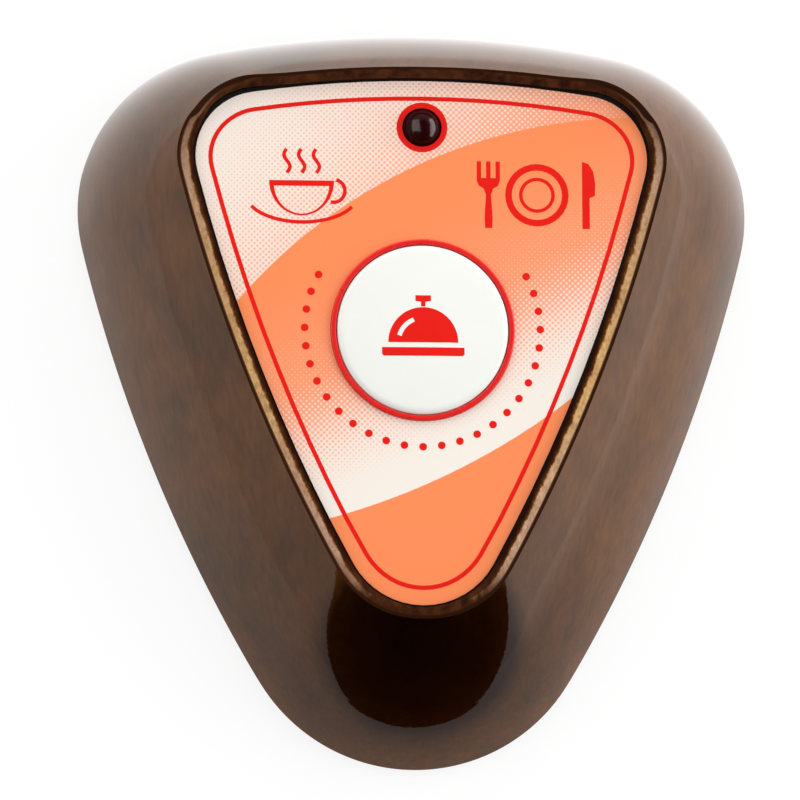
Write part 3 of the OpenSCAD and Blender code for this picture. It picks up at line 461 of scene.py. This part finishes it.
# The wall is cut just above the carrier, so that the wood above the cut can be brought in.
for cut_z in (lip_z, lip_z + lip_step):
    bpy.ops.object.mode_set(mode="EDIT")
    bpy.ops.mesh.select_mode(type="FACE")
    bpy.ops.mesh.bisect(plane_co=(0, 0, cut_z), plane_no=(0, 0, 1))
    bpy.ops.object.mode_set(mode="OBJECT")
    for face in wood_body.data.polygons:
        face.select = on_wall(face, cut_z)


def at_level(z):
    points = wood_body.data.vertices
    return [v for v in points if abs(v.co.z - z) < level_play and v.co.xy.length < 0.045]


# The attribute runs across the bevel from its inner edge (0) to its rim (1).
walls_foot = [v.co.xy.copy() for v in at_level(wall_z)]
rims = [v.co.xy.copy() for v in at_level(rim_z)]
loops = [(at_level(z), z) for z in (rim_z, round_z, cove_z, wall_z, lip_z + lip_step)]
run = wood_body.data.attributes.new("bevel_run", "FLOAT", "POINT")
for found in run.data:
    found.value = beside_bevel
for (points, z), along in zip(loops, (1.0, 0.88, 0.12, 0.0, -0.4)):
    for vertex in points:
        inner = min(walls_foot, key=lambda xy: (xy - vertex.co.xy).length)
        outer = min(rims, key=lambda xy: (xy - inner).length)
        way = (outer - inner).normalized()
        run.data[vertex.index].value = along
        if along > 0.5:
            shift = out_side * abs(way.x) - back_head * max(way.y, 0)
            vertex.co.z -= out_drop * max(shift, 0)
        else:
            shift = -in_all
            vertex.co.z -= in_drop if along >= 0 else 0
        vertex.co.x += way.x * shift
        vertex.co.y += way.y * shift
for face in wood_body.data.polygons:
    if all(run.data[v].value < beside_bevel - 0.1 for v in face.vertices):
        face.material_index = 1
smooth_over(wood_body, 30, 2)
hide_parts("wood_housing")
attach(wood_body, "housing")


# Carrier: one black moulding with a finely sparked skin. It fills the window from below, with its
# flange under the wood's ledge, and holds the button, the lamp, the board and the base's screws.
def plastic(name, colour, roughness, coat=0.0, uneven=0.1):
    finish, tree, skin = new_finish(name, roughness, coat=coat)
    cloud = noise(tree, 150, 3)
    dark = tuple(c * (1 - uneven) for c in colour)
    light = tuple(min(1, c * (1 + uneven / 2)) for c in colour)
    tree.links.new(ramp(tree, cloud, (0.3, dark), (0.7, light)), skin.inputs["Base Color"])
    worn = ramp(tree, noise(tree, 600, 3), (0.3, roughness * 0.85), (0.7, roughness * 1.15))
    tree.links.new(worn, skin.inputs["Roughness"])
    bump(tree, skin, noise(tree, 4000, 2), 0.00001)
    return finish


def dress(node, finish):
    mesh = nodes[node].data
    mesh.materials.clear()
    mesh.materials.append(finish)


black_moulding = plastic("black_moulding", (0.012, 0.011, 0.011), 0.42)
dress("face_plate", black_moulding)

# Printed film: a thin polycarbonate sheet glued on the carrier. It is white, with an orange
# halftone wave above and below. The sizes of the print are in millimetres.
dot_step = 0.747
dot_blur = 0.15
dot_share = 0.55
film_white, film_orange = (0.913, 0.855, 0.776), (1.0, 0.270, 0.093)
upper_middle, upper_radius = (28.95, -34.17), 68.55
lower_middle, lower_radius = (-36.44, 68.23), 90.15
edge_blur = 0.04
film = bpy.data.materials.new("printed_sheet")
film.use_nodes = True
film_tree = film.node_tree
film_skin = film_tree.nodes["Principled BSDF"]
film_skin.inputs["Roughness"].default_value = 0.38


def film_sum(kind, *values):
    return reckon(film_tree, kind, *values)


def inside_arc(middle, radius):
    across = film_sum("SUBTRACT", film_x, middle[0])
    along = film_sum("SUBTRACT", film_y, middle[1])
    squares = [film_sum("MULTIPLY", side, side) for side in (across, along)]
    return film_sum("SUBTRACT", radius, film_sum("SQRT", film_sum("ADD", *squares)))


film_axes = add(film_tree, "SeparateXYZ")
film_tree.links.new(add(film_tree, "TexCoord").outputs["Object"], film_axes.inputs[0])
film_x = film_sum("MULTIPLY", film_axes.outputs["X"], 1000)
film_y = film_sum("MULTIPLY", film_axes.outputs["Y"], 1000)
dot_u = film_sum("MULTIPLY", film_sum("ADD", film_x, film_y), 2 * math.pi / dot_step)
dot_v = film_sum("MULTIPLY", film_sum("SUBTRACT", film_x, film_y), 2 * math.pi / dot_step)
screen = film_sum("ADD", film_sum("COSINE", dot_u), film_sum("COSINE", dot_v))
screen = film_sum("MULTIPLY_ADD", screen, 0.25, 0.5)
in_upper = between(film_tree, inside_arc(upper_middle, upper_radius), -edge_blur, edge_blur)
in_lower = between(film_tree, inside_arc(lower_middle, lower_radius), edge_blur, -edge_blur)
# Beyond the upper arc the tone fades to the left corner, inside it along the wave.
corner = film_sum("MULTIPLY_ADD", film_y, -0.00946, 0.545)
corner = film_sum("MULTIPLY_ADD", film_x, 0.01078, corner)
corner_bow = film_sum("MULTIPLY", corner, corner)
corner_tone = film_sum("MULTIPLY_ADD", corner_bow, 0.5, film_sum("ADD", corner, 0.19))
down_wave = film_sum("MULTIPLY_ADD", film_x, 0.5, film_sum("MULTIPLY", film_y, -0.982))
wave_tone = ramp(
    film_tree, between(film_tree, down_wave, -20, 15),
    (0, 1.0), (0.174, 0.93), (0.383, 0.81), (0.52, 0.59), (0.697, 0.29), (0.843, 0.07), (1, 0.02))
tone = film_sum("MAXIMUM", mix(film_tree, in_upper, corner_tone, wave_tone), in_lower)
wide_tone = film_sum("MULTIPLY_ADD", tone, 1 + 2 * dot_blur, -dot_blur)
dot_edge = film_sum("ADD", film_sum("SUBTRACT", screen, 1), wide_tone)
even_ink = film_sum("MULTIPLY", between(film_tree, tone, 0, 1), 1 - dot_share)
dot_ink = between(film_tree, dot_edge, -dot_blur, dot_blur)
ink = film_sum("MULTIPLY_ADD", dot_ink, dot_share, even_ink)
film_tree.links.new(mix(film_tree, ink, film_white, film_orange), film_skin.inputs["Base Color"])
bump(film_tree, film_skin, noise(film_tree, 2500, 2), 0.000004)
dress("printed_overlay", film)

# Red printing on the film: a border line that follows its edge, a ring round the lamp's hole, a
# row of dots round the button, and two plain pictures: a cup, and a plate with fork and knife.
# All are thin layers of screen ink.
red_ink = plastic("red_ink", (0.80, 0.0085, 0.004), 0.5, uneven=0.03)
red_ink.node_tree.nodes["Principled BSDF"].inputs["Specular IOR Level"].default_value = 0.2
film_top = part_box("printed_overlay")[1].z
ink_t = 0.00002
button_at = Vector((0, 0.0060, 0))
lamp_at = Vector((0, 0.0327, 0))
border_w, border_in = 0.00056, 0.00165
button_clear, lamp_clear = 0.0125, 0.0035
tail_lift, tail_from, tail_over = 0.0003, -0.020, 0.005
head_drop, head_from, head_over = 0.0004, 0.026, 0.008
lamp_ring_r, lamp_ring_w = 0.00330, 0.00074
dot_r, dot_row_r = 0.0005, 0.0152
dot_count, first_dot, last_dot = 27, 152, 388


def open_flat_ring(width):
    bpy.ops.mesh.inset(thickness=width)
    bpy.ops.mesh.delete(type="FACE")
    bpy.ops.mesh.select_all(action="SELECT")


def thicken(height):
    bpy.ops.mesh.extrude_region_move(TRANSFORM_OT_translate={"value": (0, 0, height)})
    bpy.ops.mesh.select_all(action="SELECT")
    bpy.ops.mesh.normals_make_consistent(inside=False)
    bpy.ops.mesh.select_all(action="DESELECT")
    bpy.ops.object.mode_set(mode="OBJECT")


def print_on(piece, body):
    piece.data.materials.clear()
    piece.data.materials.append(red_ink)
    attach(piece, body)


def flat_disc(name, sides, radius, place):
    bpy.ops.object.select_all(action="DESELECT")
    bpy.ops.mesh.primitive_circle_add(
        vertices=sides, radius=radius, fill_type="NGON", location=place)
    piece = bpy.context.object
    piece.name = name
    bpy.ops.object.transform_apply()
    bpy.ops.object.mode_set(mode="EDIT")
    bpy.ops.mesh.select_mode(type="FACE")
    bpy.ops.mesh.select_all(action="SELECT")
    return piece


border = merged_copy("printed_overlay", "red_border")
shared = {}
for face in border.data.polygons:
    for key in face.edge_keys:
        shared.setdefault(key, set()).add(abs(face.normal.z) > 0.5)
bpy.ops.object.mode_set(mode="EDIT")
bpy.ops.mesh.select_mode(type="EDGE")
bpy.ops.object.mode_set(mode="OBJECT")
for edge in border.data.edges:
    ends = [border.data.vertices[v].co for v in edge.vertices]
    on_top = all(end.z > film_top - 1e-5 for end in ends)
    off_button = all((end.xy - button_at.xy).length > button_clear for end in ends)
    off_lamp = all((end.xy - lamp_at.xy).length > lamp_clear for end in ends)
    edge.select = not (on_top and off_button and off_lamp and len(shared[edge.key]) == 2)
bpy.ops.object.mode_set(mode="EDIT")
bpy.ops.mesh.delete(type="EDGE_FACE")
bpy.ops.mesh.select_all(action="SELECT")
bpy.ops.mesh.delete_loose(use_verts=True, use_edges=False, use_faces=False)
bpy.ops.mesh.select_all(action="SELECT")
bpy.ops.mesh.edge_face_add()
bpy.ops.mesh.select_mode(type="FACE")
bpy.ops.mesh.select_all(action="SELECT")
bpy.ops.mesh.inset(thickness=border_in)
bpy.ops.mesh.select_all(action="INVERT")
bpy.ops.mesh.delete(type="FACE")
bpy.ops.mesh.select_all(action="SELECT")
open_flat_ring(border_w)
thicken(ink_t)
for vertex in border.data.vertices:
    near_tail = min(max((tail_from - vertex.co.y) / tail_over, 0), 1)
    near_head = min(max((vertex.co.y - head_from) / head_over, 0), 1)
    vertex.co.y += tail_lift * near_tail - head_drop * near_head
print_on(border, "housing")

lamp_ring = flat_disc("red_lamp_ring", 64, lamp_ring_r, (lamp_at.x, lamp_at.y, film_top))
open_flat_ring(lamp_ring_w)
thicken(ink_t)
print_on(lamp_ring, "housing")

dots = []
for step in range(dot_count):
    angle = math.radians(first_dot + step * (last_dot - first_dot) / (dot_count - 1))
    dot_x = dot_row_r * math.cos(angle)
    dot_y = button_at.y + dot_row_r * math.sin(angle)
    dots.append(flat_disc("red_dot", 16, dot_r, (dot_x, dot_y, film_top)))
    thicken(ink_t)
bpy.ops.object.select_all(action="DESELECT")
for dot in dots:
    dot.select_set(True)
bpy.context.view_layer.objects.active = dots[0]
bpy.ops.object.join()
dots[0].name = "red_dots"
print_on(dots[0], "housing")


# A print is drawn in millimetres round a centre, made a flat sheet, cut into small fields, given
# the thickness of the ink and laid on the surface of its base.
def printed(name, centre, outlines, base, body):
    sheet_curve = bpy.data.curves.new(name, "CURVE")
    sheet_curve.dimensions = "2D"
    sheet_curve.fill_mode = "BOTH"
    for outline in outlines:
        spline = sheet_curve.splines.new("POLY")
        spline.points.add(len(outline) - 1)
        spline.use_cyclic_u = True
        for point, (x, y) in zip(spline.points, outline):
            point.co = ((centre[0] + x) / 1000, (centre[1] + y) / 1000, 0, 1)
    piece = bpy.data.objects.new(name, sheet_curve)
    scene.collection.objects.link(piece)
    bpy.ops.object.select_all(action="DESELECT")
    bpy.context.view_layer.objects.active = piece
    piece.select_set(True)
    bpy.ops.object.convert(target="MESH")
    piece = bpy.context.object
    bpy.ops.object.mode_set(mode="EDIT")
    bpy.ops.mesh.select_mode(type="FACE")
    bpy.ops.mesh.select_all(action="SELECT")
    bpy.ops.mesh.remove_doubles(threshold=1e-6)
    for step in range(-6, 7):
        bpy.ops.mesh.select_all(action="SELECT")
        bpy.ops.mesh.bisect(plane_co=((centre[0] + step) / 1000, 0, 0), plane_no=(1, 0, 0))
        bpy.ops.mesh.select_all(action="SELECT")
        bpy.ops.mesh.bisect(plane_co=(0, (centre[1] + step) / 1000, 0), plane_no=(0, 1, 0))
    bpy.ops.mesh.select_all(action="SELECT")
    thicken(ink_t)
    for vertex in piece.data.vertices:
        x, y, z = vertex.co
        spot = base.ray_cast((x, y, 0.05), (0, 0, -1))[1]
        vertex.co.z = spot.z + (ink_t if z > ink_t / 2 else -ink_t / 2)
    print_on(piece, body)


def bow(x, y, radius, start, end, steps=18, flat=1.0):
    angles = [math.radians(start + (end - start) * k / steps) for k in range(steps + 1)]
    return [(x + radius * math.cos(a), y + flat * radius * math.sin(a)) for a in angles]


def stroke(line, width):
    left, right = [], []
    for k, (x, y) in enumerate(line):
        before, after = Vector(line[max(k - 1, 0)]), Vector(line[min(k + 1, len(line) - 1)])
        run_way = (after - before).normalized() * width / 2
        left.append((x - run_way.y, y + run_way.x))
        right.append((x + run_way.y, y - run_way.x))
    return left + right[::-1]


def ring(radius, width, sides=32):
    edges = (radius + width / 2, radius - width / 2)
    return [bow(0, 0, edge, 0, 360 - 360 / sides, sides - 1) for edge in edges]


def both_sides(half):
    return half + [(-x, y) for x, y in half[::-1]]


line_w = 0.42
cup_size = 1.12
cup = [
    bow(0, 1.7, 3.75, 180, 360, 28, 1.1), bow(0, 1.3, 3.2, 184, 356, 24, 1.1),
    stroke(bow(3.65, 0.5, 1.35, 75, -103, 16), line_w),
    stroke(bow(0, 0.0, 6.4, 205, 335, 24, 0.50), line_w)]
for steam_x in (-1.7, 0, 1.7):
    rises = [k * 0.2 for k in range(15)]
    cup.append(stroke([(steam_x + 0.35 * math.sin(2.2 * t), 2.6 + t) for t in rises], line_w))
cup = [[(cup_size * x, cup_size * y) for x, y in outline] for outline in cup]
overlay = nodes["printed_overlay"]
printed("red_cup", (-15.6, 23.6), cup, overlay, "housing")

fork = both_sides([
    (0.45, -4.4), (0.52, -3.0), (0.32, 0.0), (0.6, 0.8), (1.25, 1.2), (1.5, 1.9), (1.5, 4.4),
    (0.95, 4.4), (0.95, 2.2), (0.28, 2.2), (0.28, 4.4)])
knife = [
    (-0.5, -4.4), (0.45, -4.4), (0.45, -0.3), (1.15, 0.0), (1.2, 1.6), (0.95, 3.2), (0.35, 4.2),
    (-0.5, 4.5)]
plate = ring(3.7, 0.85) + ring(2.1, 0.45)
setting = [[(x - 6.3, y) for x, y in fork], [(x + 6.4, y) for x, y in knife]] + plate
printed("red_place_setting", (14.9, 23.9), setting, overlay, "housing")

# Red ring round the button: a glossy moulded ring whose flange is trapped under the film. Above
# the film it is a little wider here, to both sides, than the solid is.
ring_middle_r = 0.0115
seen_z = film_top - 0.0002
grown_out, grown_in = 0.00009, 0.00011
red_gloss = plastic("red_gloss", (0.78, 0.010, 0.007), 0.3, coat=0.25, uneven=0.03)
red_ring = merged_copy("button_ring", "red_ring")
red_ring.data.materials.append(red_gloss)
for vertex in red_ring.data.vertices:
    reach = vertex.co.xy - button_at.xy
    if vertex.co.z > seen_z:
        grown = grown_out if reach.length > ring_middle_r else -grown_in
        vertex.co.xy = button_at.xy + reach.normalized() * (reach.length + grown)
smooth_over(red_ring, 30, 1)
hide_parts("button_ring")
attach(red_ring, "housing")

# Push cap: white moulded plastic with a soft edge. It slides in the carrier's collar, and its stem
# reaches down to the switch.
white_moulding = plastic("white_moulding", (0.88, 0.89, 0.84), 0.35, uneven=0.012)
push_cap = merged_copy("button_cap", "push_cap")
push_cap.data.materials.append(white_moulding)
smooth_over(push_cap, 30, 1)
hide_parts("button_cap")
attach(push_cap, "button")

# Print on the cap: a plain counter bell in the same red ink, laid on the crown and riding with the
# cap.
bell = [
    both_sides([(0.28, 3.3), (0.28, 3.9), (1.0, 4.0), (1.0, 4.75)])[::-1],
    bow(0, -1.4, 4.5, 180, 0, 36, 1.02) + [(-4.5, -1.4)],
    [(-5.3, -2.05), (5.3, -2.05), (5.3, -2.95), (5.1, -3.15), (-5.1, -3.15), (-5.3, -2.95)],
    stroke(bow(0, -1.4, 3.2, 164, 112, 10), 0.6)]
printed("red_bell", (0, 5.6), bell, push_cap, "button")

# Push switch: a moulded block under a cover of tinned sheet steel, with its plunger. It stands on
# the board on four bent legs that are soldered to it.
dark_moulding = plastic("dark_moulding", (0.02, 0.02, 0.022), 0.4)
plunger_grey = plastic("plunger_grey", (0.05, 0.05, 0.055), 0.45)


def metal(name, colour, roughness, brushed=(1, 1, 1)):
    finish, tree, skin = new_finish(name, roughness, metallic=1.0)
    cloud = noise(tree, 300, 3)
    dull = tuple(c * 0.85 for c in colour)
    tree.links.new(ramp(tree, cloud, (0.3, dull), (0.7, colour)), skin.inputs["Base Color"])
    marks = noise(tree, 2500, 4, brushed)
    worn = ramp(tree, marks, (0.3, roughness * 0.7), (0.7, roughness * 1.3))
    tree.links.new(worn, skin.inputs["Roughness"])
    bump(tree, skin, marks, 0.000004)
    return finish


tinned = metal("tinned_sheet", (0.72, 0.72, 0.70), 0.28, (1, 0.1, 1))
dress("switch_body", dark_moulding)
dress("switch_cover", tinned)
dress("switch_plunger", plunger_grey)
dress("switch_legs", tinned)

# Signal lamp: a 5 mm lens of dark red epoxy, cast on two tinned wires that are soldered to the
# board. It stands in the carrier's sleeve and looks out of the film.
epoxy = plastic("red_epoxy_lens", (0.018, 0.0010, 0.0012), 0.16)
epoxy.node_tree.nodes["Principled BSDF"].inputs["Specular IOR Level"].default_value = 0.06
lamp_lens = merged_copy("led_lens", "lamp_lens")
lamp_lens.data.materials.append(epoxy)
smooth_over(lamp_lens, 30, 1)
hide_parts("led_lens")
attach(lamp_lens, "housing")
# Two soft panels, seen by the lens alone, stand for the windows that shine in it.
lens_only = bpy.data.collections.new("lens_only")
lens_only.objects.link(lamp_lens)
panes = [
    softbox("pane_left", (-0.42, -0.05, 0.55), 1.60, 0.65, 14),
    softbox("pane_right", (0.6, 0.05, 0.16), 1.15, 0.55, 23)]
for pane in panes:
    pane.visible_glossy = True
    pane.visible_diffuse = False
    pane.light_linking.receiver_collection = lens_only
dress("led_leads", tinned)

# Circuit board: glass fibre laminate under a green solder mask. Four small screws hold it to the
# carrier's bosses, and the parts below are soldered to it.
dress("circuit_board", plastic("green_mask", (0.01, 0.09, 0.03), 0.3, coat=0.5))

# Encoder chip: a block of moulded black resin that sets the call's code. Its two rows of formed,
# tinned legs are soldered to the board.
dress("encoder_chip", dark_moulding)
dress("encoder_legs", tinned)

# Radio stage: a resonator in an oval, nickel-plated can that hangs under the board on two
# soldered pins, and a transistor of black resin with three flat legs.
dress("saw_resonator", metal("nickel_can", (0.66, 0.63, 0.58), 0.22))
dress("rf_transistor", dark_moulding)

# Small parts: black thick-film resistors and tan ceramic capacitors. They are blocks that lie flat
# on the board, soldered at their ends.
dress("chip_resistors", plastic("resistor_black", (0.015, 0.015, 0.017), 0.3))
dress("chip_capacitors", plastic("capacitor_tan", (0.42, 0.27, 0.15), 0.45))

# Aerial: a coil wound from enamelled copper wire, its ends bent down and soldered to the board.
# The lacquer on the wire gives the copper its orange tone.
dress("antenna_coil", metal("enamelled_copper", (0.75, 0.35, 0.14), 0.25))

# Coin cell: a pressed steel can with nickel plating, that lies in the base's well. Two gilt strips
# spring from the board onto it, one onto its side and one onto its top.
dress("coin_cell", metal("cell_nickel", (0.70, 0.69, 0.66), 0.25))
gilt = metal("gilt_strip", (0.85, 0.62, 0.28), 0.25)
dress("cell_contact_positive", gilt)
dress("cell_contact_negative", gilt)

# Base cover and battery door: black mouldings of the carrier's plastic. Three screws pull the
# cover up to the carrier's pillars, and the door's lugs lock in it with a part of a turn.
dress("base_cover", black_moulding)
dress("battery_door", black_moulding)

# Screws and feet: zinc-plated steel screws for the base and the board, and three black rubber
# discs glued to the wood's underside.
zinc = metal("zinc_plate", (0.62, 0.63, 0.65), 0.3)
dress("base_screws", zinc)
dress("board_screws", zinc)
dress("rubber_feet", plastic("foot_rubber", (0.025, 0.025, 0.025), 0.75))
